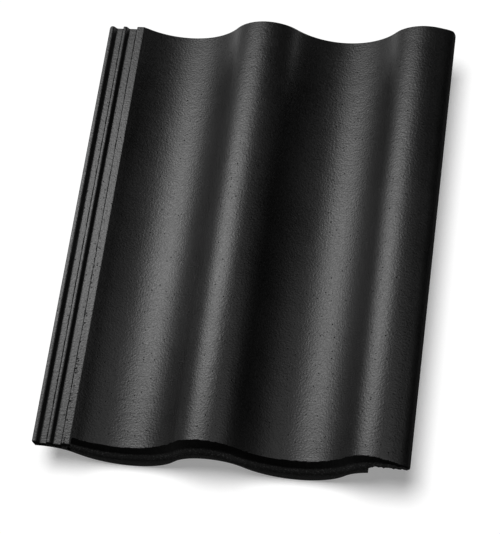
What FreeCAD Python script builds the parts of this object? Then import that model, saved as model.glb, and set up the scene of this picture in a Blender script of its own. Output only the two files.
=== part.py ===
import FreeCAD, Part
import math
import os

import Sketcher

# Interlocking double-wave roof tile of pressed concrete, lying level on its foot and nibs.
# X runs across the waves, Y from the tail (-) to the head (+), Z up from the floor.
# Lengths are in millimetres and angles in degrees.

SIZES = {
    # Wave of the upper face
    "tile_length": 420.0,
    "wave_pitch": 150.0,
    "wave_depth": 35.5,
    "roll_radius": 37.0,
    "body_thickness": 11.5,
    # Left under-lap with its two water channels, measured from the left edge
    "pan_offset": 80.0,
    "rebate_width": 34.7,
    "rebate_rise": 18.2,
    "rebate_thickness": 9.8,
    "channel_depth": 4.2,
    "outer_channel_x": 6.2,
    "outer_channel_floor": 6.1,
    "inner_channel_x": 18.4,
    "inner_channel_floor": 7.6,
    "channel_flank": 2.7,
    "channel_wall": 1.2,
    "rib_round": 0.9,
    # Angle of the bevel under the under-lap's tail
    "relief_slope": 30.0,
    # Right over-lap with the two ribs that hang in the next tile's channels
    "lap_reach": 27.0,
    "lap_fall": 21.8,
    "lap_clearance": 3.5,
    "lap_start": 8.0,
    "lap_rib_play": 1.2,
    "lap_rib_flank": 1.6,
    "lap_rib_setback": 24.0,
    # Foot wall and weather bar across the tail
    "foot_drop": 16.5,
    "foot_roll_drop": 11.8,
    "foot_width": 15.0,
    "foot_end": 7.7,
    "foot_end_draft": 1.5,
    "bar_drop": 5.5,
    "bar_width": 9.0,
    "bar_setback": 38.0,
    # Hanging nibs under the pans, near the head
    "nib_width": 42.0,
    "nib_length": 20.0,
    "nib_setback": 14.0,
    "nib_face_draft": 1.5,
    "nib_back_draft": 6.0,
    # Rounded edges
    "nose_radius": 8.0,
    "lap_nose_radius": 2.4,
    "lap_edge_radius": 3.0,
    "plan_corner": 4.5,
    # Depth to which whatever hangs under the tile runs into its body
    "root_depth": 3.0,
}

# Places that follow from the sizes above, kept in the sheet beside them
PLACES = {
    "lost_roll_x": "pan_offset - wave_pitch / 2",
    "roll_x": "pan_offset + wave_pitch / 2",
    "second_pan_x": "pan_offset + wave_pitch",
    "second_roll_x": "second_pan_x + wave_pitch / 2",
    "tile_width": "second_roll_x + lap_reach",
    "cover_width": "2 * wave_pitch",
    "pan_z": "foot_drop + body_thickness",
    "roll_z": "pan_z + wave_depth",
    "pan_radius": "((wave_pitch / 2) ^ 2 + wave_depth ^ 2) / (2 * wave_depth) - roll_radius",
    "pan_centre": "pan_z + pan_radius",
    "lead_radius": "((pan_offset - rebate_width) ^ 2 + rebate_rise ^ 2) / (2 * rebate_rise)",
    "lead_centre": "pan_z + lead_radius",
    "roll_centre": "roll_z - roll_radius",
    "under_lead_radius": "lead_radius + body_thickness",
    "under_pan_radius": "pan_radius + body_thickness",
    "under_roll_radius": "roll_radius - body_thickness",
    "core_lead_radius": "lead_radius + body_thickness / 2",
    "core_pan_radius": "pan_radius + body_thickness / 2",
    "core_roll_radius": "roll_radius - body_thickness / 2",
    "bar_lead_radius": "under_lead_radius + bar_drop",
    "bar_pan_radius": "under_pan_radius + bar_drop",
    "bar_roll_radius": "under_roll_radius - bar_drop",
    "rebate_z": "pan_z + rebate_rise",
    "rebate_under": "rebate_z - rebate_thickness",
    "rebate_core": "rebate_under + root_depth",
    "relief_base": "rebate_under - root_depth",
    "relief_depth": "rebate_thickness",
    "channel_z": "rebate_z - channel_depth",
    "outer_channel_end": "outer_channel_x + outer_channel_floor",
    "outer_top_start": "outer_channel_x - channel_flank",
    "outer_top_end": "outer_channel_end + channel_wall",
    "inner_channel_end": "inner_channel_x + inner_channel_floor",
    "inner_top_start": "inner_channel_x - channel_flank",
    "inner_top_end": "inner_channel_end + channel_wall",
    "lap_under": "rebate_z + lap_clearance",
    "lap_x": "second_roll_x - lap_start",
    "lap_rib_z": "channel_z + lap_rib_play",
    "lap_rib_root": "lap_under + root_depth",
    "outer_rib_start": "cover_width + outer_channel_x + lap_rib_play",
    "outer_rib_end": "cover_width + outer_channel_end - lap_rib_play",
    "outer_root_start": "outer_rib_start - lap_rib_flank",
    "outer_root_end": "outer_rib_end + lap_rib_flank",
    "inner_rib_start": "cover_width + inner_channel_x + lap_rib_play",
    "inner_rib_end": "cover_width + inner_channel_end - lap_rib_play",
    "inner_root_start": "inner_rib_start - lap_rib_flank",
    "inner_root_end": "inner_rib_end + lap_rib_flank",
    "foot_roll_z": "roll_z - body_thickness - foot_roll_drop",
    "foot_pan_radius": "((wave_pitch / 2) ^ 2 + foot_roll_z ^ 2) / (2 * foot_roll_z) - roll_radius",
    "foot_roll_centre": "foot_roll_z - roll_radius",
    "foot_low_x": "second_roll_x - foot_end",
    "foot_high_x": "foot_low_x + foot_end_draft",
    "nib_back_y": "tile_length / 2 - nib_setback",
    "nib_face_y": "nib_back_y - nib_length",
    "nib_height": "foot_drop + body_thickness / 2",
}

BODY_CENTRES = ("lead_centre", "pan_centre", "roll_centre")
CHANNELS = ("outer", "inner")
TOLERANCE = 0.01
LITRE = 1e6
START, END, CENTRE = 1, 2, 3
ORIGIN = (-1, 1)

doc = FreeCAD.newDocument("pantile")
sheet = doc.addObject("Spreadsheet::Sheet", "dims")


def fill_sheet():
    """Write each driving size as a plain number and each place as a formula, all with aliases."""
    row = 1
    for name, value in SIZES.items():
        sheet.set(f"A{row}", name)
        sheet.set(f"B{row}", str(value))
        sheet.setAlias(f"B{row}", name)
        row += 1
    for name, formula in PLACES.items():
        sheet.set(f"A{row}", name)
        sheet.set(f"B{row}", f"={formula}")
        sheet.setAlias(f"B{row}", name)
        row += 1
    doc.recompute()


def size(name):
    """Return a sheet value as a number."""
    return float(sheet.get(name))


def point(x, z):
    """Return a place in a sketch's own plane."""
    return FreeCAD.Vector(x, z, 0)


def new_body(name):
    """Add an empty body to the document."""
    body = doc.addObject("PartDesign::Body", name)
    body.Label = name
    return body


def new_sketch(body, name, role, along="0", across="-dims.tile_width / 2"):
    """Attach a sketch to one of the body's own planes, with its origin at the tile's left edge.

    The value of along moves the sketch along its plane's normal, and across moves it sideways.
    """
    sketch = body.newObject("Sketcher::SketchObject", name)
    plane = next(item for item in body.Origin.OriginFeatures if item.Role == role)
    sketch.AttachmentSupport = [(plane, "")]
    sketch.MapMode = "FlatFace"
    sketch.setExpression("AttachmentOffset.Base.x", across)
    sketch.setExpression("AttachmentOffset.Base.z", along)
    return sketch


def bind(sketch, kind, places, expression, value):
    """Add a dimension to the sketch and tie it to the sheet."""
    index = sketch.addConstraint(Sketcher.Constraint(kind, *places, value))
    sketch.setExpression(f"Constraints[{index}]", expression)


def bind_x(sketch, geometry, end, name):
    """Tie the distance of a point from the sketch's upright axis to a place in the sheet."""
    bind(sketch, "DistanceX", (*ORIGIN, geometry, end), f"dims.{name}", size(name))


def bind_z(sketch, geometry, end, name):
    """Tie the height of a point above the sketch's level axis to a place in the sheet."""
    bind(sketch, "DistanceY", (*ORIGIN, geometry, end), f"dims.{name}", size(name))


def join(sketch, first, first_end, second, second_end, kind="Coincident"):
    """Relate two points of a sketch: coincident unless another relation is named."""
    sketch.addConstraint(Sketcher.Constraint(kind, first, first_end, second, second_end))


def add_line(sketch, start, end):
    """Draw a straight line and return its number in the sketch."""
    return sketch.addGeometry(Part.LineSegment(point(*start), point(*end)), False)


def add_arc(sketch, centre, radius, start, end):
    """Draw an arc between two angles and return its number in the sketch."""
    circle = Part.Circle(point(*centre), FreeCAD.Vector(0, 0, 1), radius)
    return sketch.addGeometry(Part.ArcOfCircle(circle, start, end), False)


def add_loop(sketch, corners):
    """Draw a closed chain of lines through the corners and return the lines' numbers."""
    sides = [add_line(sketch, *pair) for pair in zip(corners, corners[1:] + corners[:1])]
    for side, following in zip(sides, sides[1:] + sides[:1]):
        join(sketch, side, END, following, START)
    return sides


def level(sketch, *lines):
    """Keep lines of a sketch horizontal."""
    for line in lines:
        sketch.addConstraint(Sketcher.Constraint("Horizontal", line))


def upright(sketch, *lines):
    """Keep lines of a sketch vertical."""
    for line in lines:
        sketch.addConstraint(Sketcher.Constraint("Vertical", line))


class Wave:
    """A chain of five tangent arcs across the tile: lead, pan, roll, pan, roll.

    Pan arcs run from left to right and roll arcs from right to left, as a circle is drawn. The lead is
    the flatter left half of the first pan and starts at a given height, or, in the foot, the right half
    of a roll that isn't there and starts at its crown. The last roll ends at a given angle on its circle.
    """

    def __init__(self, sketch, centres, radii, end_angle, start_z=None):
        self.sketch = sketch
        self.lead_is_roll = start_z is None
        self.lead_height, self.pan_height, self.roll_height = centres
        lead, pan, roll = zip((size(name) for name in centres), (size(name) for name in radii))
        flank = math.atan2(pan[0] - roll[0], size("wave_pitch") / 2)
        pan_left, pan_right = math.pi + flank, 2 * math.pi - flank
        roll_right, roll_left = flank, math.pi - flank
        if self.lead_is_roll:
            self.lead_x, self.lead_end = "lost_roll_x", START
            self.lead = self.arc(self.lead_x, lead, roll_right, math.pi / 2)
            first = pan_left
        else:
            self.lead_x, self.lead_end = "pan_offset", END
            rise = math.asin((start_z - lead[0]) / lead[1])
            first = 3 * math.pi / 2
            self.lead = self.arc(self.lead_x, lead, math.pi - rise, first)
        self.first_pan = self.arc("pan_offset", pan, first, pan_right)
        self.first_roll = self.arc("roll_x", roll, roll_right, roll_left)
        self.second_pan = self.arc("second_pan_x", pan, pan_left, pan_right)
        self.second_roll = self.arc("second_roll_x", roll, end_angle, roll_left)
        join(sketch, self.lead, self.lead_end, self.first_pan, START, "Tangent")
        join(sketch, self.first_pan, END, self.first_roll, END, "Tangent")
        join(sketch, self.first_roll, START, self.second_pan, START, "Tangent")
        join(sketch, self.second_pan, END, self.second_roll, END, "Tangent")
        bind(sketch, "Radius", (self.first_roll,), f"dims.{radii[2]}", size(radii[2]))

    def arc(self, x, height_and_radius, start, end):
        """Draw one arc of the chain, centred at a named place."""
        height, radius = height_and_radius
        return add_arc(self.sketch, (size(x), height), radius, start, end)

    def arcs(self):
        """Return the arcs' numbers from left to right."""
        return self.lead, self.first_pan, self.first_roll, self.second_pan, self.second_roll

    def place(self):
        """Tie the centres of the arcs to the sheet."""
        heights = (self.lead_height, self.pan_height, self.roll_height, self.pan_height, self.roll_height)
        columns = (self.lead_x, "pan_offset", "roll_x", "second_pan_x", "second_roll_x")
        for geometry, column, height in zip(self.arcs(), columns, heights):
            bind_x(self.sketch, geometry, CENTRE, column)
            bind_z(self.sketch, geometry, CENTRE, height)

    def share_centres(self, other):
        """Make this wave run parallel to another one."""
        for geometry, base in zip(self.arcs(), other.arcs()):
            join(self.sketch, geometry, CENTRE, base, CENTRE)

    def start(self):
        """Return the arc at the left end of the chain and which of its ends is free."""
        return self.lead, END if self.lead_is_roll else START

    def start_point(self):
        """Return the left end of the chain."""
        spot = self.sketch.getPoint(*self.start())
        return spot.x, spot.y

    def end_point(self):
        """Return the right end of the chain."""
        spot = self.sketch.getPoint(self.second_roll, START)
        return spot.x, spot.y


def angle_at(x_name, centre_x, radius):
    """Return the angle on a circle of the point of its upper half that lies at the named place."""
    return math.acos((size(x_name) - size(centre_x)) / size(radius))


def draw_section(sketch):
    """Draw the tile's cross section: waves, under-lap block on the left, over-lap on the right."""
    fall = math.radians(size("lap_fall"))
    top = Wave(sketch, BODY_CENTRES, ("lead_radius", "pan_radius", "roll_radius"),
               math.pi / 2 - fall, size("rebate_z"))
    top.place()
    lap_turn = angle_at("lap_x", "second_roll_x", "under_roll_radius")
    under = Wave(sketch, BODY_CENTRES, ("under_lead_radius", "under_pan_radius", "under_roll_radius"),
                 lap_turn, size("rebate_under"))
    under.share_centres(top)

    left_low, left_high = (0, size("rebate_under")), (0, size("rebate_z"))
    left_edge = add_line(sketch, left_low, left_high)
    rebate_top = add_line(sketch, left_high, top.start_point())
    rebate_base = add_line(sketch, under.start_point(), left_low)
    lap_from = top.end_point()
    edge_radius = size("lap_edge_radius")
    edge_x = size("tile_width") - edge_radius
    lap_to_x = edge_x + edge_radius * math.sin(fall)
    lap_to = (lap_to_x, lap_from[1] - (lap_to_x - lap_from[0]) * math.tan(fall))
    edge_centre = (edge_x, lap_to[1] - edge_radius * math.cos(fall))
    edge_high = (size("tile_width"), edge_centre[1])
    edge_low = (size("tile_width"), size("lap_under"))
    lap_root = (size("lap_x"), size("lap_under"))
    lap_top = add_line(sketch, lap_from, lap_to)
    lap_round = add_arc(sketch, edge_centre, edge_radius, 0, math.pi / 2 - fall)
    right_edge = add_line(sketch, edge_high, edge_low)
    lap_base = add_line(sketch, edge_low, lap_root)
    lap_step = add_line(sketch, lap_root, under.end_point())

    join(sketch, left_edge, END, rebate_top, START)
    join(sketch, rebate_top, END, *top.start())
    join(sketch, *under.start(), rebate_base, START)
    join(sketch, rebate_base, END, left_edge, START)
    join(sketch, top.second_roll, START, lap_top, START, "Tangent")
    join(sketch, lap_top, END, lap_round, END, "Tangent")
    join(sketch, lap_round, START, right_edge, START, "Tangent")
    join(sketch, right_edge, END, lap_base, START)
    join(sketch, lap_base, END, lap_step, START)
    join(sketch, lap_step, END, under.second_roll, START)
    upright(sketch, left_edge, right_edge, lap_step)
    level(sketch, rebate_top, rebate_base, lap_base)
    join(sketch, left_edge, START, *ORIGIN, "Vertical")
    bind_z(sketch, left_edge, END, "rebate_z")
    bind_z(sketch, left_edge, START, "rebate_under")
    bind_x(sketch, right_edge, START, "tile_width")
    bind_z(sketch, right_edge, END, "lap_under")
    bind_x(sketch, lap_step, START, "lap_x")
    bind(sketch, "Radius", (lap_round,), "dims.lap_edge_radius", edge_radius)
    bind(sketch, "Angle", (lap_top,), "-dims.lap_fall", -fall)


def draw_band(sketch, lower_centres, lower_radii, from_crown):
    """Draw a wall that hangs under the waves, from its lower edge up into the tile's body.

    Its lower edge starts at the crown of a roll that isn't there, or else inside the under-lap block.
    """
    core = Wave(sketch, BODY_CENTRES, ("core_lead_radius", "core_pan_radius", "core_roll_radius"),
                angle_at("foot_high_x", "second_roll_x", "core_roll_radius"), size("rebate_core"))
    core.place()
    edge = Wave(sketch, lower_centres, lower_radii, angle_at("foot_low_x", "second_roll_x", lower_radii[2]),
                None if from_crown else size("rebate_core"))
    edge.place()
    left_end = add_line(sketch, edge.start_point(), core.start_point())
    right_end = add_line(sketch, edge.end_point(), core.end_point())
    join(sketch, left_end, START, *edge.start())
    join(sketch, left_end, END, *core.start())
    join(sketch, right_end, START, edge.second_roll, START)
    join(sketch, right_end, END, core.second_roll, START)
    bind_z(sketch, left_end, END, "rebate_core")
    if from_crown:
        bind_x(sketch, left_end, START, "lost_roll_x")
    else:
        level(sketch, left_end)
    bind_x(sketch, right_end, START, "foot_low_x")
    bind_x(sketch, right_end, END, "foot_high_x")


def draw_strip(sketch, base_ends, top_ends, low, high):
    """Draw a strip with sloping sides between two heights; its four corners are named places."""
    (base_start, base_end), (top_start, top_end) = base_ends, top_ends
    corners = [
        (size(base_start), size(low)),
        (size(base_end), size(low)),
        (size(top_end), size(high)),
        (size(top_start), size(high)),
    ]
    base, _, top, _ = add_loop(sketch, corners)
    level(sketch, base, top)
    bind_z(sketch, base, START, low)
    bind_z(sketch, top, START, high)
    bind_x(sketch, base, START, base_start)
    bind_x(sketch, base, END, base_end)
    bind_x(sketch, top, START, top_end)
    bind_x(sketch, top, END, top_start)


def draw_channels(sketch):
    """Draw the two water channels of the under-lap, gently sloped on the left and steep on the right."""
    for name in CHANNELS:
        base_ends = (f"{name}_channel_x", f"{name}_channel_end")
        top_ends = (f"{name}_top_start", f"{name}_top_end")
        draw_strip(sketch, base_ends, top_ends, "channel_z", "rebate_z")


def draw_lap_ribs(sketch):
    """Draw the over-lap's two ribs, one cover width to the right of the channels they hang in."""
    for name in CHANNELS:
        base_ends = (f"{name}_rib_start", f"{name}_rib_end")
        top_ends = (f"{name}_root_start", f"{name}_root_end")
        draw_strip(sketch, base_ends, top_ends, "lap_rib_z", "lap_rib_root")


def draw_relief(sketch):
    """Draw what is cut from below the under-lap's tail, so that it clears the roll of the tile below."""
    radius, height = size("roll_radius"), size("foot_roll_centre")
    middle, base = size("lost_roll_x"), size("relief_base")
    reach = math.sqrt(radius ** 2 - (size("rebate_under") - height) ** 2)
    right, left = (middle + reach, size("rebate_under")), (middle - reach, size("rebate_under"))
    spread = math.acos(reach / radius)
    crown = add_arc(sketch, (middle, height), radius, spread, math.pi - spread)
    left_side = add_line(sketch, left, (left[0], base))
    bottom = add_line(sketch, (left[0], base), (right[0], base))
    right_side = add_line(sketch, (right[0], base), right)
    join(sketch, crown, END, left_side, START)
    join(sketch, left_side, END, bottom, START)
    join(sketch, bottom, END, right_side, START)
    join(sketch, right_side, END, crown, START)
    upright(sketch, left_side, right_side)
    level(sketch, bottom)
    bind_x(sketch, crown, CENTRE, "lost_roll_x")
    bind_z(sketch, crown, CENTRE, "foot_roll_centre")
    bind(sketch, "Radius", (crown,), "dims.roll_radius", radius)
    bind_z(sketch, right_side, END, "rebate_under")
    bind_z(sketch, bottom, START, "relief_base")


def draw_nib(sketch):
    """Draw a nib's side view, with a steep face towards the tail and a sloping back."""
    face, back = size("nib_face_y"), size("nib_back_y")
    face_top, back_top = face - size("nib_face_draft"), back + size("nib_back_draft")
    top = size("nib_height")
    corners = [(face, 0), (back, 0), (back_top, top), (face_top, top)]
    base, _, root, _ = add_loop(sketch, corners)
    join(sketch, base, START, *ORIGIN, "Horizontal")
    level(sketch, base, root)
    bind_z(sketch, root, START, "nib_height")
    bind_x(sketch, base, START, "nib_face_y")
    bind_x(sketch, base, END, "nib_back_y")
    bind(sketch, "DistanceX", (*ORIGIN, root, START), "dims.nib_back_y + dims.nib_back_draft", back_top)
    bind(sketch, "DistanceX", (*ORIGIN, root, END), "dims.nib_face_y - dims.nib_face_draft", face_top)


def draw_plan(sketch):
    """Draw the tile's outline as seen from above, a rectangle about the frame's middle."""
    width, length = size("tile_width"), size("tile_length")
    corners = [(0, -length / 2), (width, -length / 2), (width, length / 2), (0, length / 2)]
    tail, right, head, left = add_loop(sketch, corners)
    level(sketch, tail, head)
    upright(sketch, right, left)
    join(sketch, tail, START, *ORIGIN, "Vertical")
    bind_x(sketch, tail, END, "tile_width")
    bind(sketch, "DistanceY", (tail, START, *ORIGIN), "dims.tile_length / 2", length / 2)
    bind(sketch, "DistanceY", (right, START, right, END), "dims.tile_length", length)


def add_feature(body, kind, name, sketch):
    """Add a pad or pocket on a sketch to a body."""
    feature = body.newObject(f"PartDesign::{kind}", name)
    feature.Profile = sketch
    return feature


def build_blank():
    """Build the tile with square edges: section, foot, weather bar, lap ribs, nibs and channels."""
    body = new_body("tile_blank")

    section = new_sketch(body, "section", "XZ_Plane")
    draw_section(section)
    shell = add_feature(body, "Pad", "shell", section)
    shell.SideType = "Symmetric"
    shell.setExpression("Length", "dims.tile_length")
    doc.recompute()

    foot_outline = new_sketch(body, "foot_outline", "XZ_Plane", "dims.tile_length / 2 - dims.foot_width")
    draw_band(foot_outline, ("foot_roll_centre", "foot_pan_radius", "foot_roll_centre"),
              ("roll_radius", "foot_pan_radius", "roll_radius"), True)
    foot = add_feature(body, "Pad", "foot", foot_outline)
    foot.setExpression("Length", "dims.foot_width")
    doc.recompute()

    bar_outline = new_sketch(
        body, "bar_outline", "XZ_Plane", "dims.tile_length / 2 - dims.bar_setback - dims.bar_width")
    draw_band(bar_outline, BODY_CENTRES, ("bar_lead_radius", "bar_pan_radius", "bar_roll_radius"), False)
    bar = add_feature(body, "Pad", "weather_bar", bar_outline)
    bar.setExpression("Length", "dims.bar_width")
    doc.recompute()

    rib_outline = new_sketch(body, "rib_outline", "XZ_Plane")
    draw_lap_ribs(rib_outline)
    ribs = add_feature(body, "Pad", "lap_ribs", rib_outline)
    ribs.SideType = "Symmetric"
    ribs.setExpression("Length", "dims.tile_length - 2 * dims.lap_rib_setback")
    doc.recompute()

    for name, column in (("first_nib", "pan_offset"), ("second_nib", "second_pan_x")):
        nib_outline = new_sketch(
            body, f"{name}_outline", "YZ_Plane", f"dims.{column} - dims.tile_width / 2", "0")
        draw_nib(nib_outline)
        nib = add_feature(body, "Pad", name, nib_outline)
        nib.SideType = "Symmetric"
        nib.setExpression("Length", "dims.nib_width")
        doc.recompute()

    channel_outline = new_sketch(body, "channel_outline", "XZ_Plane")
    draw_channels(channel_outline)
    before = body.Shape.Volume
    channels = add_feature(body, "Pocket", "water_channels", channel_outline)
    channels.SideType = "Symmetric"
    channels.Type = "ThroughAll"
    doc.recompute()
    check_cut(before, body.Shape.Volume)

    relief_outline = new_sketch(body, "relief_outline", "XZ_Plane", "dims.tile_length / 2")
    draw_relief(relief_outline)
    before = body.Shape.Volume
    relief = add_feature(body, "Pocket", "tail_relief", relief_outline)
    relief.UseCustomVector = True
    relief.setExpression("Direction.x", "0")
    relief.setExpression("Direction.y", "cos(dims.relief_slope * 1 deg)")
    relief.setExpression("Direction.z", "-sin(dims.relief_slope * 1 deg)")
    relief.setExpression("Length", "dims.relief_depth")
    doc.recompute()
    if before - body.Shape.Volume < TOLERANCE:
        raise RuntimeError("the tail relief cut nothing")
    round_ribs(body)
    return body


def round_ribs(body):
    """Round the upper edges of the under-lap's ribs, all but the one that borders the first pan."""
    places = [0, *(size(f"{name}_{end}") for name in CHANNELS for end in ("top_start", "top_end"))]
    half_width = size("tile_width") / 2
    edges = []
    for number, edge in enumerate(body.Shape.Edges, 1):
        box = edge.BoundBox
        on_top = abs(box.ZMin - size("rebate_z")) < TOLERANCE and box.ZLength < TOLERANCE
        lengthwise = box.XLength < TOLERANCE and box.YLength > size("tile_length") / 2
        if on_top and lengthwise and min(abs(box.XMin + half_width - x) for x in places) < TOLERANCE:
            edges.append(f"Edge{number}")
    if len(edges) != len(places):
        raise RuntimeError("the ribs' upper edges were not found")
    base = body.Tip
    ribs = body.newObject("PartDesign::Fillet", "rib_rounding")
    ribs.Base = (base, edges)
    ribs.setExpression("Radius", "dims.rib_round")
    doc.recompute()


def check_cut(before, after):
    """Stop if the channels removed anything other than their own volume."""
    floors = size("outer_channel_floor") + size("inner_channel_floor")
    sides = size("channel_flank") + size("channel_wall")
    section = (floors + sides) * size("channel_depth")
    expected = section * size("tile_length")
    if abs(before - after - expected) > TOLERANCE * expected:
        raise RuntimeError("the water channels cut the wrong volume")


def top_height(x):
    """Return the height of the upper face at a distance from the left edge, from pan to lap."""
    fall = math.radians(size("lap_fall"))
    lap_from = size("second_roll_x") + size("roll_radius") * math.sin(fall)
    if x > lap_from:
        lap_z = size("roll_centre") + size("roll_radius") * math.cos(fall)
        return lap_z - (x - lap_from) * math.tan(fall)
    if x < size("pan_offset"):
        reach = size("pan_offset") - x
        return size("lead_centre") - math.sqrt(size("lead_radius") ** 2 - reach ** 2)
    half = size("wave_pitch") / 2
    flank = math.atan2(size("pan_centre") - size("roll_centre"), half)
    offset = abs((x - size("pan_offset") + half) % size("wave_pitch") - half)
    if offset < size("pan_radius") * math.cos(flank):
        return size("pan_centre") - math.sqrt(size("pan_radius") ** 2 - offset ** 2)
    return size("roll_centre") + math.sqrt(size("roll_radius") ** 2 - (half - offset) ** 2)


def nose_radius_at(x):
    """Return the tail nose's radius, which shrinks across the thin over-lap towards the right edge."""
    full_until = size("second_roll_x")
    share = min(max((x - full_until) / size("lap_reach"), 0.0), 1.0)
    return size("nose_radius") + share * (size("lap_nose_radius") - size("nose_radius"))


def nose_edges(shape):
    """Return the upper edges of the tail face, each with the nose's radius at its two ends."""
    edges = []
    half_width = size("tile_width") / 2
    tail = -size("tile_length") / 2
    wave_from = size("rebate_width")
    round_from = size("tile_width") - size("lap_edge_radius")
    for number, edge in enumerate(shape.Edges, 1):
        box = edge.BoundBox
        if abs(box.YMin - tail) > TOLERANCE or abs(box.YMax - tail) > TOLERANCE:
            continue
        middle = edge.valueAt((edge.FirstParameter + edge.LastParameter) / 2)
        x = middle.x + half_width
        on_wave = x > wave_from and abs(middle.z - top_height(x)) < TOLERANCE
        on_round = x > round_from and middle.z > size("lap_under") + TOLERANCE
        if on_wave or on_round:
            left = nose_radius_at(box.XMin + half_width)
            right = nose_radius_at(box.XMax + half_width)
            edges.append((number, left, right))
    return edges


def build_nose(blank):
    """Round the upper edge of the tail over its whole width."""
    nose = doc.addObject("Part::Fillet", "nose")
    nose.Base = blank
    nose.Edges = nose_edges(blank.Shape)
    doc.recompute()
    return nose


def build_plan():
    """Build an upright prism with the tile's outline seen from above, its corners rounded."""
    body = new_body("plan_prism")
    outline = new_sketch(body, "plan_outline", "XY_Plane")
    draw_plan(outline)
    prism = add_feature(body, "Pad", "prism", outline)
    prism.setExpression("Length", "dims.roll_z + dims.body_thickness")
    doc.recompute()
    corner_edges = [
        f"Edge{number}" for number, edge in enumerate(prism.Shape.Edges, 1)
        if edge.BoundBox.ZLength > size("roll_z")
    ]
    corners = body.newObject("PartDesign::Fillet", "corners")
    corners.Base = (prism, corner_edges)
    corners.setExpression("Radius", "dims.plan_corner")
    doc.recompute()
    return body


def check_document(tile):
    """Stop if any object failed or the finished shape isn't one valid solid."""
    for item in doc.Objects:
        if "Invalid" in item.State or "Error" in item.State:
            raise RuntimeError(f"{item.Name} failed to build")
    if tile.Shape.isNull() or not tile.Shape.isValid():
        raise RuntimeError("the tile's shape is not valid")
    if len(tile.Shape.Solids) != 1:
        raise RuntimeError("the tile is not one solid")


fill_sheet()
nosed = build_nose(build_blank())
plan = build_plan()
tile = doc.addObject("Part::MultiCommon", "pantile")
tile.Shapes = [nosed, plan]
tile.Label = "pantile"
tile.Placement = FreeCAD.Placement()
doc.recompute()
check_document(tile)

os.makedirs("parts", exist_ok=True)
tile.Shape.exportStep(f"parts/{tile.Label}.step")
print(f"{tile.Label}: {tile.Shape.Volume / LITRE:.3f} litres, {tile.Shape.BoundBox}")
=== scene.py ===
"""Studio picture of one interlocking roof tile of black coated concrete, lying on a white floor."""

import logging
import math
from dataclasses import dataclass, field
from enum import Enum
from typing import Any, Sequence, Union

import bmesh
import bpy
import numpy as np
from mathutils import Matrix, Vector


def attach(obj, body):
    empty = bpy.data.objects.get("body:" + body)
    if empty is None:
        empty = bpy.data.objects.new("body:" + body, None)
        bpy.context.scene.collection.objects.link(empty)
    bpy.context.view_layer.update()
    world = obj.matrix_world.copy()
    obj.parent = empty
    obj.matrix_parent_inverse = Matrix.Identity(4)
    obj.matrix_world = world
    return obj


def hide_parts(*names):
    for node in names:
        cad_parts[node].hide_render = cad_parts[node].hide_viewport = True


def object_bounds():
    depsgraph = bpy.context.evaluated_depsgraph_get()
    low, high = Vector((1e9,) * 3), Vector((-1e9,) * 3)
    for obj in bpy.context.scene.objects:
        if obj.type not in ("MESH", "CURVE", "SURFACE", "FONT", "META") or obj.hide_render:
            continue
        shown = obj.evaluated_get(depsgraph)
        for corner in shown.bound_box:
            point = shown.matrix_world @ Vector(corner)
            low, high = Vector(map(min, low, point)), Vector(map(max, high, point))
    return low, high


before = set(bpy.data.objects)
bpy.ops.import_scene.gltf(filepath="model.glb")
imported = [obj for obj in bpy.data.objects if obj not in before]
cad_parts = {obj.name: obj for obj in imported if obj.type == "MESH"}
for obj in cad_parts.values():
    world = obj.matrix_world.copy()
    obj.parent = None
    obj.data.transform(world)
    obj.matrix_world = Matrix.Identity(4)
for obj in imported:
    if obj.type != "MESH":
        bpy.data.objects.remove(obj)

LOG = logging.getLogger("tile")
MM = 0.001
TINY = 1e-6
BESIDE_JUMP = 1e-3
NOISE_ROUGHNESS = 0.55
BLACK = (0.0, 0.0, 0.0, 1)
WHITE = (1, 1, 1, 1)
CAD_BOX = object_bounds()
PHOTO_SIZE = (500, 534)

Pair = tuple[float, float]
Triple = tuple[float, float, float]
Table = tuple[Pair, ...]
Faces = list[tuple[int, ...]]


class Skin(Enum):
    """Which finish a face of the tile carries, by its place in the list of materials."""

    COATED = 0
    BARE = 1
    # Dull near-black copy of the coat: painted shade on the tail nose, the side arrises and the side walls.
    NOSE = 2
    CUT = 3


class Wire:
    """One output of a shader node, with arithmetic that adds the Math nodes it needs."""

    def __init__(self, graph: "Graph", socket: bpy.types.NodeSocket) -> None:
        """Hold a socket and the graph it belongs to."""
        self.graph = graph
        self.socket = socket

    def __add__(self, other: "Value") -> "Wire":
        """Add."""
        return self.graph.math("ADD", self, other)

    def __radd__(self, other: "Value") -> "Wire":
        """Add, with the plain number first."""
        return self.graph.math("ADD", other, self)

    def __sub__(self, other: "Value") -> "Wire":
        """Subtract."""
        return self.graph.math("SUBTRACT", self, other)

    def __rsub__(self, other: "Value") -> "Wire":
        """Subtract from a plain number."""
        return self.graph.math("SUBTRACT", other, self)

    def __mul__(self, other: "Value") -> "Wire":
        """Multiply."""
        return self.graph.math("MULTIPLY", self, other)

    def __rmul__(self, other: "Value") -> "Wire":
        """Multiply, with the plain number first."""
        return self.graph.math("MULTIPLY", other, self)

    def step(self, low: float, high: float) -> "Wire":
        """Go smoothly from 0 at low to 1 at high.

        Args:
            low: Value that gives 0.
            high: Value that gives 1.

        Returns:
            The eased value, from 0 to 1.
        """
        settings = {"interpolation_type": "SMOOTHSTEP", "clamp": True}
        sockets = {"Value": self, "From Min": low, "From Max": high}
        return self.graph.wire("ShaderNodeMapRange", settings, sockets, "Result")


Value = Union[Wire, float, tuple]


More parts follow.
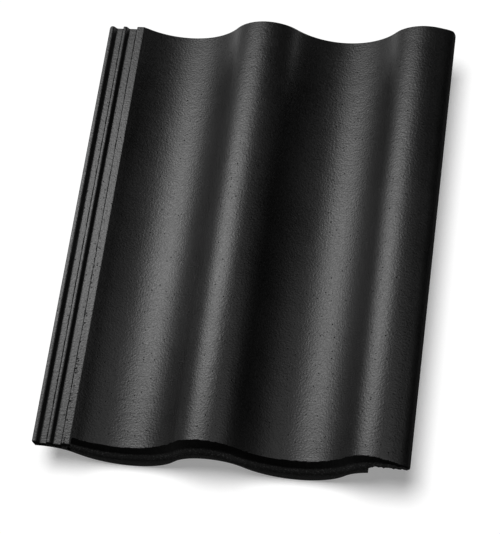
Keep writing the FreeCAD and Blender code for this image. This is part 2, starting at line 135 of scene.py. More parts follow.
class Graph:
    """The nodes of one material or world, added by name."""

    def __init__(self, tree: bpy.types.NodeTree) -> None:
        """Start from an empty tree."""
        self.tree = tree
        tree.nodes.clear()

    def node(self, kind: str, settings: dict[str, Any], sockets: dict[Any, Value]) -> bpy.types.Node:
        """Add a node.

        Args:
            kind: The node's type.
            settings: Attributes of the node, set before its sockets.
            sockets: Values or links of its inputs, by name or number.

        Returns:
            The new node.
        """
        made = self.tree.nodes.new(kind)
        for name, value in settings.items():
            setattr(made, name, value)
        for name, value in sockets.items():
            if isinstance(value, Wire):
                self.tree.links.new(value.socket, made.inputs[name])
            else:
                made.inputs[name].default_value = value
        return made

    def wire(self, kind: str, settings: dict[str, Any], sockets: dict[Any, Value], output: Any) -> Wire:
        """Add a node and return one of its outputs, by name or number."""
        return Wire(self, self.node(kind, settings, sockets).outputs[output])

    def math(self, operation: str, *values: Value) -> Wire:
        """Add a Math node on plain values."""
        return self.wire("ShaderNodeMath", {"operation": operation}, dict(enumerate(values)), 0)

    def vector(self, operation: str, *values: Value) -> Wire:
        """Add a Vector Math node."""
        return self.wire("ShaderNodeVectorMath", {"operation": operation}, dict(enumerate(values)), 0)

    def blend(self, factor: Value, first: Value, second: Value) -> Wire:
        """Mix two colours by the share of the second."""
        settings = {"data_type": "RGBA", "blend_type": "MIX"}
        return self.wire("ShaderNodeMix", settings, {0: factor, 6: first, 7: second}, 2)

    def place(self) -> Wire:
        """Return the surface point in the object's own frame, in millimetres."""
        point = self.wire("ShaderNodeTexCoord", {}, {}, "Object")
        return self.vector("MULTIPLY", point, (1 / MM, 1 / MM, 1 / MM))

    def axis(self, point: Wire, number: int) -> Wire:
        """Return one coordinate of a point, by number."""
        return self.wire("ShaderNodeSeparateXYZ", {}, {0: point}, number)

    def noise(self, point: Wire, pitch: float, detail: float, warp: float) -> Wire:
        """Add an uneven value whose grain has a given pitch.

        Args:
            point: Where it is read, in millimetres.
            pitch: Size of the grain, in millimetres.
            detail: Number of finer layers.
            warp: How far the grain is drawn out of shape.

        Returns:
            A value about 0.5, from 0 to 1.
        """
        sockets = {
            "Vector": point, "Scale": 1 / pitch, "Detail": detail,
            "Roughness": NOISE_ROUGHNESS, "Distortion": warp,
        }
        return self.wire("ShaderNodeTexNoise", {"noise_dimensions": "3D"}, sockets, 0)

    def cells(self, point: Wire, size: float) -> bpy.types.Node:
        """Divide space into seeded cells of a given size, in millimetres."""
        sockets = {"Vector": self.vector("DIVIDE", point, (size,) * 3), "Scale": 1.0}
        return self.node("ShaderNodeTexVoronoi", {"feature": "F1", "voronoi_dimensions": "3D"}, sockets)

    def holes(self, point: Wire, size: float, edge: Pair, chance: Pair, channel: int) -> Wire:
        """Scatter round holes, at most one in each cell.

        Args:
            point: Where they are read, in millimetres.
            size: Size of the cells, in millimetres.
            edge: Distances from a hole's middle, as shares of a cell, between which it ends.
            chance: Draws of a cell between which its hole goes from none to full.
            channel: Which of the cell's three draws counts.

        Returns:
            A value from 0 to 1, 1 in the holes.
        """
        made = self.cells(point, size)
        draw = self.wire("ShaderNodeSeparateColor", {}, {0: Wire(self, made.outputs["Color"])}, channel)
        return (1 - Wire(self, made.outputs["Distance"]).step(*edge)) * draw.step(*chance)

    def bump(self, height: Wire) -> Wire:
        """Turn a height in millimetres into a bumped normal."""
        return self.wire("ShaderNodeBump", {}, {"Strength": 1.0, "Distance": MM, "Height": height}, 0)

    def paint(self, sockets: dict[str, Value]) -> Wire:
        """Add a Principled shader."""
        return self.wire("ShaderNodeBsdfPrincipled", {}, sockets, 0)

    def mixed(self, factor: Wire, first: Wire, second: Wire) -> Wire:
        """Mix two shaders."""
        return self.wire("ShaderNodeMixShader", {}, {0: factor, 1: first, 2: second}, 0)

    def surface(self, shader: Wire) -> None:
        """Add the material's output."""
        self.node("ShaderNodeOutputMaterial", {}, {"Surface": shader})


def new_material(name: str) -> tuple[bpy.types.Material, Graph]:
    """Start a material.

    Args:
        name: The material's name.

    Returns:
        The material and its empty graph.
    """
    made = bpy.data.materials.new(name)
    made.use_nodes = True
    return made, Graph(made.node_tree)


def new_object(name: str, data: bpy.types.ID) -> bpy.types.Object:
    """Put an object into the scene.

    Args:
        name: The object's name.
        data: Its mesh, lamp or camera.

    Returns:
        The object.
    """
    made = bpy.data.objects.new(name, data)
    bpy.context.scene.collection.objects.link(made)
    return made


@dataclass(frozen=True)
class CoatedFinish:
    """Satin black coat on pressed concrete: leathery grain, small pits, crumbs beside the cracks, and painted
    shade that turns it dull black towards the right edge.
    """

    name: str = "coated_concrete"
    colour: Triple = (0.001, 0.001, 0.001)
    pale: Triple = (0.0065, 0.0065, 0.0066)
    pale_range: Pair = (0.35, 0.65)
    # Colour of the pits and crumbs, and of the painted shade at the right edge.
    pit_and_shade_colour: Triple = (0.001, 0.001, 0.001)
    gloss: float = 0.44
    cloud_gloss: float = 0.06
    speck_gloss: float = 0.22
    grain_pitch: float = 1.65
    grain_height: float = 0.27
    swell_pitch: float = 8.0
    swell_height: float = 0.08
    cloud_pitch: float = 70.0
    speck_pitch: float = 1.5
    pit_cell: float = 3.3
    pit_edge: Pair = (0.06, 0.22)
    pit_chance: Pair = (0.5, 0.9)
    pit_depth: float = 0.16
    cracks: Table = ((-153.9, 2.2), (-140.2, 5.4))
    crack_edge: Pair = (-0.6, 0.3)
    crumb_cell: float = 2.3
    crumb_edge: Pair = (0.24, 0.46)
    crumb_chance: Pair = (0.25, 0.5)
    crumb_end: Pair = (-170.0, 90.0)
    crumb_loss: float = 0.8
    # Places across where the coat fades to dull black towards the right edge: painted shade.
    lap_edge_shade: Pair = (153.0, 169.0)

    def material(self) -> bpy.types.Material:
        """Build the finish.

        Returns:
            The new material.
        """
        made, graph = new_material(self.name)
        point = graph.place()
        across, along = graph.axis(point, 0), graph.axis(point, 1)
        grain = graph.noise(point, self.grain_pitch, detail=1.5, warp=0.0)
        swell = graph.noise(point, self.swell_pitch, detail=1.0, warp=0.3)
        cloud = graph.noise(point, self.cloud_pitch, detail=3.0, warp=0.4)
        speck = graph.noise(point, self.speck_pitch, detail=1.0, warp=0.0)
        pits = graph.holes(point, self.pit_cell, self.pit_edge, self.pit_chance, 0)
        crumbs = self.crumbs(graph, point, across) * (1 - along.step(*self.crumb_end) * self.crumb_loss)
        pit = graph.math("MAXIMUM", pits, crumbs)
        # Pits and crumbs, and painted shade towards the right edge, take the dull black of the pits.
        pits_and_lap_shade = graph.math("MAXIMUM", pit, across.step(*self.lap_edge_shade))
        bump = graph.bump(grain * self.grain_height + swell * self.swell_height - pit * self.pit_depth)
        worn = (cloud * 0.5 + speck * 0.5).step(*self.pale_range)
        tone = graph.blend(worn, (*self.colour, 1), (*self.pale, 1))
        rough = self.gloss + (cloud - 0.5) * self.cloud_gloss + (speck - 0.5) * self.speck_gloss
        coat = graph.paint({"Base Color": tone, "Roughness": rough, "Normal": bump})
        pit_and_shade_paint = graph.paint({
            "Base Color": (*self.pit_and_shade_colour, 1), "Roughness": 1.0, "Specular IOR Level": 0.0, "Normal": bump})
        graph.surface(graph.mixed(pits_and_lap_shade, coat, pit_and_shade_paint))
        return made

    def crumbs(self, graph: Graph, point: Wire, across: Wire) -> Wire:
        """Return the crumbled pits beside the cracks of the under-lap's channels.

        Args:
            graph: The material's nodes.
            point: Surface point in millimetres.
            across: Its place across the tile.

        Returns:
            A value from 0 to 1, 1 in the pits.
        """
        holes = graph.holes(point, self.crumb_cell, self.crumb_edge, self.crumb_chance, 1)
        bands = [(across - crack).step(*self.crack_edge) * (1 - (across - crack).step(reach / 2, reach))
                 for crack, reach in self.cracks]
        return holes * graph.math("MAXIMUM", *bands)


@dataclass(frozen=True)
class DullFinish:
    """Black concrete with hardly any gloss, whose colour can be darkened towards the tail's front and the
    nose's knee as painted shade.
    """

    name: str
    colour: Triple
    pale: Triple
    sheen: float
    grain_pitch: float
    grain_height: float
    # Shares of the tone left at the tail's front and past the nose's knee: painted shade.
    front_shade_share: float = 1.0
    knee_shade_share: float = 1.0
    front: Pair = (-210.0, -207.6)
    knee: Pair = (-207.5, -206.0)
    gloss: float = 0.9
    pale_range: Pair = (0.5, 0.8)

    def material(self) -> bpy.types.Material:
        """Build the finish.

        Returns:
            The new material.
        """
        made, graph = new_material(self.name)
        point = graph.place()
        grain = graph.noise(point, self.grain_pitch, detail=2.0, warp=0.4)
        along = graph.axis(point, 1)
        # Painted shade: the tone is darker at the tail's front and past the nose's knee.
        share = self.front_shade_share + along.step(*self.front) * (1 - self.front_shade_share)
        share = share * (1 - along.step(*self.knee) * (1 - self.knee_shade_share))
        tone = graph.blend(grain.step(*self.pale_range), (*self.colour, 1), (*self.pale, 1))
        graph.surface(graph.paint({
            "Base Color": graph.blend(share, BLACK, tone), "Roughness": self.gloss,
            "Specular IOR Level": self.sheen, "Normal": graph.bump(grain * self.grain_height)}))
        return made


# Dull near-black copy of the coat for the tail nose, the side arrises and the side walls: painted shade that
# stands in for the dark reflection the coat shows there.
SHADED_FINISH = DullFinish(
    name="painted_shade_concrete", colour=(0.0008, 0.0008, 0.0008), pale=(0.003, 0.003, 0.003),
    sheen=0.07, grain_pitch=1.8, grain_height=0.3)
# The cut finish is darkened at the tail's front and past the nose's knee: painted shade.
CUT_FINISH = DullFinish(
    name="cut_concrete", colour=(0.021, 0.021, 0.021), pale=(0.105, 0.105, 0.105),
    sheen=0.02, grain_pitch=1.5, grain_height=0.4, front_shade_share=0.38, knee_shade_share=0.2)


@dataclass(frozen=True)
class BareFinish:
    """Uncoated dark concrete of the underside and the head end: matt, sandy, with open pores."""

    name: str = "bare_concrete"
    colour: Triple = (0.045, 0.045, 0.046)
    pale: Triple = (0.085, 0.084, 0.082)
    pale_range: Pair = (0.3, 0.7)
    pore_colour: Triple = (0.012, 0.012, 0.012)
    gloss: float = 0.85
    sand_pitch: float = 1.6
    sand_height: float = 0.25
    cloud_pitch: float = 40.0
    pore_cell: float = 5.0
    pore_edge: Pair = (0.1, 0.2)
    pore_depth: float = 0.5
    pore_share: float = 0.8

    def material(self) -> bpy.types.Material:
        """Build the finish.

        Returns:
            The new material.
        """
        made, graph = new_material(self.name)
        point = graph.place()
        sand = graph.noise(point, self.sand_pitch, detail=3.0, warp=0.2)
        cloud = graph.noise(point, self.cloud_pitch, detail=4.0, warp=0.5)
        pores = graph.cells(point, self.pore_cell)
        pore = 1 - Wire(graph, pores.outputs["Distance"]).step(*self.pore_edge)
        tone = graph.blend(cloud.step(*self.pale_range), (*self.colour, 1), (*self.pale, 1))
        tone = graph.blend(pore * self.pore_share, tone, (*self.pore_colour, 1))
        bump = graph.bump(sand * self.sand_height - pore * self.pore_depth)
        graph.surface(graph.paint({"Base Color": tone, "Roughness": self.gloss, "Normal": bump}))
        return made


@dataclass(frozen=True)
class Unevenness:
    """Smooth seeded unevenness over the tile's plan, from -1 to 1."""

    seed: int
    pitch: Pair
    margin: float = 300.0
    span: Pair = (900.0, 700.0)

    def at(self, x: np.ndarray, y: np.ndarray) -> np.ndarray:
        """Read the unevenness.

        Args:
            x: Distances across the tile, in millimetres.
            y: Distances along the tile, in millimetres.

        Returns:
            One value for each point.
        """
        u = (np.asarray(x, float) + self.margin) / self.pitch[0]
        v = (np.asarray(y, float) + self.margin) / self.pitch[1]
        cells = [int(span / pitch) + 2 for span, pitch in zip(self.span, self.pitch)]
        knots = np.random.default_rng(self.seed).uniform(-1, 1, cells)
        i, j = np.floor(u).astype(int), np.floor(v).astype(int)
        s, t = u - i, v - j
        s, t = s * s * (3 - 2 * s), t * t * (3 - 2 * t)
        near = knots[i, j] * (1 - s) + knots[i + 1, j] * s
        far = knots[i, j + 1] * (1 - s) + knots[i + 1, j + 1] * s
        return near * (1 - t) + far * t

    def row(self, x: np.ndarray) -> np.ndarray:
        """Read the unevenness across the tile alone."""
        return self.at(x, np.zeros_like(x))


def rounded(corners: Sequence[Triple], pieces: int = 4) -> np.ndarray:
    """Draw a chain of straight lines with rounded corners.

    Args:
        corners: Place and rounding radius of each corner, in millimetres.
        pieces: Number of straight pieces in each rounded corner.

    Returns:
        The points of the chain.
    """
    spots = [np.array(corner[:2]) for corner in corners]
    chain = [spots[0]]
    for before, spot, after, corner in zip(spots, spots[1:], spots[2:], corners[1:]):
        into = (spot - before) / np.linalg.norm(spot - before)
        out = (after - spot) / np.linalg.norm(after - spot)
        turn = math.acos(float(np.clip(into @ out, -1, 1)))
        cut = corner[2] * math.tan(turn / 2)
        if cut < TINY:
            chain.append(spot)
        else:
            chain.extend(bend(spot - into * cut, spot, spot + out * cut, pieces))
    chain.append(spots[-1])
    return np.array(chain)


def bend(start: np.ndarray, corner: np.ndarray, end: np.ndarray, pieces: int) -> np.ndarray:
    """Return the points of an even bend that rounds off a corner, in a number of straight pieces."""
    share = np.linspace(0, 1, pieces + 1)[:, None]
    return (1 - share) ** 2 * start + 2 * share * (1 - share) * corner + share ** 2 * end


def filled(chain: np.ndarray, step: float) -> np.ndarray:
    """Add points to a chain so that none of its pieces is longer than a step.

    Args:
        chain: Points of the chain.
        step: Longest piece allowed, in millimetres.

    Returns:
        The longer chain.
    """
    points = [chain[0]]
    for start, end in zip(chain, chain[1:]):
        count = max(1, math.ceil(np.linalg.norm(end - start) / step))
        points.extend(start + (end - start) * k / count for k in range(1, count + 1))
    return np.array(points)


def with_jumps(spots: Sequence[float], jumps: Sequence[float], clear: float) -> tuple[np.ndarray, np.ndarray]:
    """Put two places at each jump of a section, read on either side of it.

    Args:
        spots: Plain places.
        jumps: Places where the section jumps.
        clear: Distance from a jump within which plain places are left out.

    Returns:
        The places in order, and the places at which the section is read there.
    """
    pairs = [(spot, spot) for spot in spots if min(abs(spot - jump) for jump in jumps) > clear]
    for jump in jumps:
        pairs += [(jump, jump - BESIDE_JUMP), (jump, jump + BESIDE_JUMP)]
    pairs.sort(key=lambda pair: pair[1])
    return tuple(np.array(pairs).T)


@dataclass(frozen=True)
class Section:
    """The tile's section across its waves, in millimetres from the left edge and from the floor."""

    width: float = 332.0
    pitch: float = 150.0
    pan_x: float = 80.0
    pan_z: float = 28.0
    depth: float = 35.5
    roll: float = 37.0
    thickness: float = 11.5
    rebate_width: float = 34.7
    rebate_z: float = 46.2
    rebate_under: float = 36.4
    rebate_round: Pair = (0.7, 1.2)
    edge_wall: float = 2.0
    edge_round: float = 1.0
    channel_z: float = 42.0
    channels: tuple[tuple[Pair, Pair, float, Pair], ...] = (
        ((3.7, 1.9), (6.2, 1.5), 11.7, (13.5, 1.1)), ((16.6, 1.8), (18.5, 1.3), 25.4, (27.2, 0.8)))
    crack: tuple[Triple, ...] = ((0.0, 0.0, 0.1), (0.45, -1.2, 0.15), (0.8, 0.4, 0.1))
    interlock_step: float = 1.2
    lead_in: float = 4.0
    lap_fall: float = 21.8
    lap_under: float = 49.7
    lap_round: float = 9.0
    lap_pieces: int = 12
    lap_lip: float = 1.0
    lap_x: float = 297.0
    foot_roll_z: float = 40.2
    bar_drop: float = 5.5
    lap_rib_z: float = 43.2
    lap_ribs: Table = ((307.4, 311.1), (319.6, 324.8))
    lap_rib_flank: float = 1.1
    curve_points: int = 4000

    @property
    def pans(self) -> Pair:
        """Return the places of both pans' lowest lines."""
        return self.pan_x, self.pan_x + self.pitch

    @property
    def crest_x(self) -> float:
        """Return the place of the second roll's crest."""
        return self.pan_x + 1.5 * self.pitch

    @property
    def pan(self) -> float:
        """Return the radius of the pans."""
        return ((self.pitch / 2) ** 2 + self.depth ** 2) / (2 * self.depth) - self.roll

    @property
    def lead(self) -> float:
        """Return the larger radius of the first pan's left half."""
        rise = self.rebate_z - self.pan_z
        return ((self.pan_x - self.rebate_width) ** 2 + rise ** 2) / (2 * rise)

    def periodic(self, x: np.ndarray, pan: float, roll: float, pan_z: float, roll_z: float) -> np.ndarray:
        """Return the height of an endless wave of pans and rolls.

        Args:
            x: Places across the tile.
            pan: Radius of the pans.
            roll: Radius of the rolls.
            pan_z: Height of the pans' centres.
            roll_z: Height of the rolls' centres.

        Returns:
            One height for each place.
        """
        half = self.pitch / 2
        off = np.abs((x - self.pan_x + half) % self.pitch - half)
        turn = pan * math.cos(math.atan2(pan_z - roll_z, half))
        low = pan_z - np.sqrt(np.maximum(pan ** 2 - off ** 2, 0))
        high = roll_z + np.sqrt(np.maximum(roll ** 2 - (half - off) ** 2, 0))
        return np.where(off < turn, low, high)

    def wave(self, x: np.ndarray, drop: float) -> np.ndarray:
        """Return the height of the upper face's waves, or of a parallel curve below them.

        Args:
            x: Places across the tile.
            drop: Distance below the upper face.

        Returns:
            One height for each place.
        """
        pan_centre, roll_centre = self.pan_z + self.pan, self.pan_z + self.depth - self.roll
        even = self.periodic(x, self.pan + drop, self.roll - drop, pan_centre, roll_centre)
        reach = np.maximum((self.lead + drop) ** 2 - (x - self.pan_x) ** 2, 0)
        led = self.pan_z + self.lead - np.sqrt(reach)
        return np.where(x < self.pan_x, led, even)

    def foot_edge(self, x: np.ndarray) -> np.ndarray:
        """Return the height of the foot's lower edge, which goes on to the left as half a roll."""
        pan = ((self.pitch / 2) ** 2 + self.foot_roll_z ** 2) / (2 * self.foot_roll_z) - self.roll
        return self.periodic(x, pan, self.roll, pan, self.foot_roll_z - self.roll)

    def under(self, x: np.ndarray) -> np.ndarray:
        """Return the height of the plain underside, with the flat of the laps at both edges.

        Args:
            x: Places across the tile.

        Returns:
            One height for each place.
        """
        body = self.wave(x, self.thickness)
        body = np.where(x > self.pan_x, body, np.minimum(body, self.rebate_under))
        return np.where(x > self.lap_x, self.lap_under, body)

    def lap_rib(self, x: np.ndarray) -> np.ndarray:
        """Return the height of the over-lap's underside with the two ribs that hang there.

        Args:
            x: Places across the tile.

        Returns:
            One height for each place.
        """
        flank = self.lap_rib_flank
        heights = (self.lap_under, self.lap_rib_z, self.lap_rib_z, self.lap_under)
        ribs = [np.interp(x, (start - flank, start, end, end + flank), heights)
                for start, end in self.lap_ribs]
        return np.minimum(*ribs)

    def interlock(self) -> np.ndarray:
        """Draw the upper outline of the under-lap, with its ribs, channels and the cracks beside them.

        Returns:
            Points as places across and heights.
        """
        top, low = self.rebate_z, self.channel_z
        corners = [(0.0, self.rebate_under + self.edge_wall, 0.0), (0.0, top, self.edge_round)]
        for start, foot, crack, end in self.channels:
            corners += [(start[0], top, start[1]), (foot[0], low, foot[1])]
            corners += [(crack + across, low + up, radius) for across, up, radius in self.crack]
            corners.append((end[0], top, end[1]))
        inset, radius = self.rebate_round
        corners.append((self.rebate_width - inset, top, radius))
        lead_x = self.rebate_width + self.lead_in
        corners.append((lead_x, self.wave(np.array([lead_x]), 0.0)[0], 0.0))
        return filled(rounded(corners), self.interlock_step)

    def upper_outline(self, step: float) -> np.ndarray:
        """Return the upper outline from the left edge round to the right edge.

        Args:
            step: Distance between its points on the waves.

        Returns:
            Points as places across and heights.
        """
        left = self.interlock()
        fall = math.radians(self.lap_fall)
        lap_x = self.crest_x + self.roll * math.sin(fall)
        lap_z = self.pan_z + self.depth - self.roll + self.roll * math.cos(fall)
        fine = np.linspace(left[-1][0], lap_x, self.curve_points)
        curve = np.stack([fine, self.wave(fine, 0.0)], 1)
        run = np.concatenate([[0], np.cumsum(np.linalg.norm(np.diff(curve, axis=0), axis=1))])
        even = np.linspace(0, run[-1], math.ceil(run[-1] / step) + 1)
        waves = np.stack([np.interp(even, run, curve[:, k]) for k in (0, 1)], 1)
        corner = np.array((self.width, lap_z - (self.width - lap_x) * math.tan(fall)))
        start = corner + self.lap_round * np.array((-1.0, math.tan(fall)))
        end = np.array((self.width, self.lap_under + self.lap_lip))
        slope = filled(np.array([(lap_x, lap_z), start]), step)
        edge = bend(start, corner, end, self.lap_pieces)
        return np.concatenate([left[:-1], waves[:-1], slope[:-1], edge])


@dataclass
class Tile:
    """The tile as one closed skin, in millimetres: upper face, nose, foot, weather bar, ribs and nibs."""

    section: Section = field(default_factory=Section)
    length: float = 420.0
    plan_corner: float = 3.4
    head_round: float = 0.8
    nose_slopes: Pair = (27.0, 70.0)
    nose_knee: float = 0.6
    nose_bend: float = 0.05
    nose_ease: float = 0.07
    nose_reach: Table = (
        (80, 8.2), (110, 9.2), (130, 10.2), (155, 10.2), (180, 9.4), (205, 8.8), (230, 9.3),
        (260, 8.9), (285, 9.3), (299, 8.3), (311, 5.8), (321, 4.4), (327, 3.0), (332, 2.2))
    nose_fall: Table = (
        (34.7, 8.0), (46, 8.0), (60, 11.3), (290, 11.3), (299, 8.0),
        (311, 5.8), (321, 4.4), (327, 3.0), (332, 2.2))
    nose_rag: Pair = (0.05, 0.04)
    nose_start: float = 0.4
    worn_edge: float = 2.0
    least_wall: float = 0.6
    # Columns at the left and right edges that carry the dull near-black finish: painted shade.
    shaded_edge_columns: tuple[int, int] = (8, 3)
    cracks: Pair = (12.1, 25.8)
    crack_reach: float = 0.7
    crack_run_out: float = 4.0
    crumble_depth: float = 0.35
    foot_width: float = 15.0
    foot_end: Pair = (295.8, 297.9)
    foot_round: float = 1.2
    relief: float = 30.0
    lap_break: Triple = (1.4, 0.75, 0.5)
    break_reach: float = 9.0
    break_rise: float = 2.0
    break_least: float = 0.1
    lap_jag: Table = ((300, 54.2), (316, 54.6), (325, 53.2), (332, 51.0))
    jag_fall: float = 0.62
    bar: Pair = (-172.0, -163.0)
    bar_start: float = 17.0
    rib_end: float = 186.0
    nib_half: float = 21.0
    nib_face: Pair = (176.0, 1.5)
    nib_back: Pair = (196.0, 6.0)
    nib_height: float = 22.25
    uneven_rise: float = 10.0
    uneven_least: float = 0.25
    uneven_end: float = 331.0
    uneven_fade: float = 8.0
    swell_depth: float = 0.10
    dimple_depth: float = 0.05
    swell: Unevenness = Unevenness(7, (38.0, 55.0))
    dimple: Unevenness = Unevenness(11, (9.0, 7.0))
    rag: Unevenness = Unevenness(23, (2.6, 40.0))
    chip: Unevenness = Unevenness(31, (1.4, 40.0))
    crumble: Unevenness = Unevenness(43, (6.0, 3.4))
    column_step: float = 1.9
    rebate_columns: tuple[float, ...] = (0.0, 1.0, 3.0, 6.0, 10.0, 14.0, 18.0, 20.5, 24.0, 28.3)
    wave_columns: Triple = (32.0, 296.0, 4.0)
    lap_columns: Triple = (300.2, 331.8, 0.9)
    column_clear: float = 0.2
    station_step: float = 2.2
    arris_stations: tuple[float, ...] = (0.0, 0.15, 0.4, 0.8)
    front_stations: Triple = (1.3, 7.6, 0.7)
    nose_stations: Triple = (7.6, 11.2, 0.4)
    head_stations: tuple[float, ...] = (0.0, 0.05, 0.2, 0.45, 0.8, 1.4, 2.4, 3.4, 4.5)
    head_margin: float = 6.0
    nib_stations: tuple[int, int] = (5, 6)
    station_clear: float = 0.31
    weld: float = 2e-5
    sharp: float = 38.0

    def stations(self) -> tuple[np.ndarray, np.ndarray]:
        """Choose where along the tile its section is taken.

        Returns:
            Places along the tile, and the places at which the section is read there. Where the section
            jumps, two stations share a place and are read on either side of the jump.
        """
        end = self.length / 2
        tail = -end + np.concatenate([
            self.arris_stations, np.arange(*self.front_stations), np.arange(*self.nose_stations)])
        head = end - np.array(self.head_stations)
        plain = np.arange(tail[-1] + self.station_step / 2, end - self.head_margin, self.station_step)
        face = self.nib_face[0] - np.linspace(0, self.nib_face[1], self.nib_stations[0])
        back = self.nib_back[0] + np.linspace(0, self.nib_back[1], self.nib_stations[1])
        spots = np.unique(np.round(np.concatenate([tail, head, plain, face, back]), 4))
        jumps = (-end + self.foot_width, *self.bar, -self.rib_end, self.rib_end)
        return with_jumps(spots, jumps, self.station_clear)

    def upper_columns(self) -> tuple[np.ndarray, np.ndarray, np.ndarray]:
        """Lay out the upper outline with its normals and the tail nose's reach at each point.

        Returns:
            Points, outward normals, and the nose's reach from the tail's front.
        """
        outline = self.section.upper_outline(self.column_step)
        along = np.gradient(outline, axis=0)
        normals = np.stack([-along[:, 1], along[:, 0]], 1)
        normals /= np.linalg.norm(normals, axis=1)[:, None]
        x = outline[:, 0]
        wide, fine = self.nose_rag
        nose = np.interp(x, *zip(*self.nose_reach)) * (1 + wide * self.rag.row(x) + fine * self.chip.row(x))
        first = int(np.searchsorted(x, self.section.rebate_width + self.nose_start))
        nose[:first] = self.worn_edge
        normals[:first] = (0.0, 1.0)
        pick = np.insert(np.arange(len(x)), first, first)
        nose = nose[pick]
        nose[first] = self.worn_edge
        return outline[pick], normals[pick], nose

    def nose_drop(self, share: np.ndarray) -> np.ndarray:
        """Return how far the tail nose has fallen, as a share of its size.

        Args:
            share: How far out on the nose, from 0 at its upper edge to 1 at the tail's front.

        Returns:
            The fall, from 0 to 1: first along the nose's upper slope, then round its knee and steeply down.
        """
        upper, lower = (math.tan(math.radians(slope)) for slope in self.nose_slopes)
        out = np.append(share, 1.0)
        eased = out - self.nose_ease * (1 - np.exp(-out / self.nose_ease))
        past = np.log1p(np.exp((out - self.nose_knee) / self.nose_bend)) * self.nose_bend
        before = math.log1p(math.exp(-self.nose_knee / self.nose_bend)) * self.nose_bend
        fall = upper * eased + (lower - upper) * (past - before)
        return fall[:-1].reshape(share.shape) / fall[-1]

    def sides(self, y: np.ndarray) -> np.ndarray:
        """Return how far the rounded corners of the plan draw the edges in at each station."""
        gap = np.maximum(self.plan_corner - (self.length / 2 - np.abs(y)), 0.0)
        return self.plan_corner - np.sqrt(np.maximum(self.plan_corner ** 2 - gap ** 2, 0.0))

    def upper(self, y: np.ndarray) -> np.ndarray:
        """Place the points of the upper face, station by station.

        Args:
            y: Places along the tile.

        Returns:
            Points by station and column, in millimetres.
        """
        outline, normals, nose = self.upper_columns()
        x, end = outline[:, 0], self.length / 2
        fall = np.where(nose > self.worn_edge, np.interp(x, *zip(*self.nose_fall)), nose)
        drop = fall * self.nose_drop(np.clip(1 - (y[:, None] + end) / nose, 0, 1))
        head_gap = np.clip(self.head_round - (end - y[:, None]), 0, self.head_round)
        drop = drop + self.head_round - np.sqrt(np.maximum(self.head_round ** 2 - head_gap ** 2, 0))
        grid_x, grid_y = np.broadcast_to(x, drop.shape), np.broadcast_to(y[:, None], drop.shape)
        left = np.clip((x - self.section.rebate_width) / self.uneven_rise, self.uneven_least, 1.0)
        right = np.clip((self.uneven_end - x) / self.uneven_fade, 0, 1)
        swell = self.swell_depth * (1 - self.swell.at(grid_x, grid_y))
        sunk = drop + (swell + self.dimple_depth * (1 - self.dimple.at(grid_x, grid_y))) * left * right
        beside = np.minimum(*(np.abs(x - crack) for crack in self.cracks)) < self.crack_reach
        beside = beside * np.clip((end - np.abs(y[:, None])) / self.crack_run_out, 0, 1)
        points = np.stack([
            x - normals[:, 0] * sunk + self.crumble_depth * beside * self.crumble.at(grid_x, grid_y),
            grid_y,
            outline[:, 1] - normals[:, 1] * sunk,
        ], 2)
        return self.trimmed(points, y)

    def trimmed(self, points: np.ndarray, y: np.ndarray) -> np.ndarray:
        """Draw points in to the rounded corners of the plan, keeping each on its own section.

        Args:
            points: Points by station and column.
            y: Places along the tile.

        Returns:
            The points, none outside the plan.
        """
        middle = points.shape[1] // 2
        for row, gap in zip(points, self.sides(y)):
            drawn = np.clip(row[:, 0], gap, self.section.width - gap)
            for half in (slice(0, middle), slice(middle, None)):
                old, new, height = row[half, 0], drawn[half], row[half, 2]
                moved = new != old
                if moved.any():
                    order = np.argsort(old, kind="stable")
                    level = np.interp(new, old[order], height[order])
                    row[half, 2] = np.where(moved, np.minimum(height, level), height)
            row[:, 0] = drawn
        return points

    def lower_columns(self) -> tuple[np.ndarray, np.ndarray]:
        """Choose where across the tile its underside is taken.

        Returns:
            Places across, and the places at which the underside is read there.
        """
        section = self.section
        jumps = [section.lap_x]
        for centre in section.pans:
            jumps += [centre - self.nib_half, centre + self.nib_half]
        spots = [*self.rebate_columns, *self.foot_end, section.width]
        spots += [*np.arange(*self.wave_columns), *np.arange(*self.lap_columns)]
        for start, end in section.lap_ribs:
            spots += [start - section.lap_rib_flank, start, end, end + section.lap_rib_flank]
        return with_jumps(sorted(set(spots)), jumps, self.column_clear)

    def lower(self, y: np.ndarray, read_y: np.ndarray) -> np.ndarray:
        """Place the points of the underside, station by station.

        Args:
            y: Places along the tile.
            read_y: Places at which the underside is read there.

        Returns:
            Points by station and column, in millimetres.
        """
        places, x = self.lower_columns()
        points = np.zeros((len(y), len(x), 3))
        for row, spot, read in zip(points, y, read_y):
            row[:, 0] = places
            row[:, 1] = spot
            row[:, 2] = self.underside(x, read)
        return self.trimmed(points, y)

    def underside(self, x: np.ndarray, y: float) -> np.ndarray:
        """Return the height of the underside at one station, with all that hangs there.

        Args:
            x: Places across the tile.
            y: Place along the tile.

        Returns:
            One height for each place.
        """
        section = self.section
        base = section.under(x)
        if y + self.length / 2 < self.foot_width:
            base = self.foot_under(x, base, y + self.length / 2)
        elif self.bar[0] < y < self.bar[1]:
            hung = section.wave(x, section.thickness + section.bar_drop)
            on_bar = (x < self.foot_end[0] + TINY) & (x > self.bar_start)
            base = np.where(on_bar, np.minimum(base, hung), base)
        if abs(y) < self.rib_end:
            base = np.where(x > self.foot_end[1], np.minimum(base, section.lap_rib(x)), base)
        face, back = self.nib_face, self.nib_back
        slope = max((face[0] - y) / face[1], (y - back[0]) / back[1], 0.0)
        for centre in section.pans:
            nib = np.where(np.abs(x - centre) < self.nib_half, slope * self.nib_height, np.inf)
            base = np.minimum(base, nib)
        return base

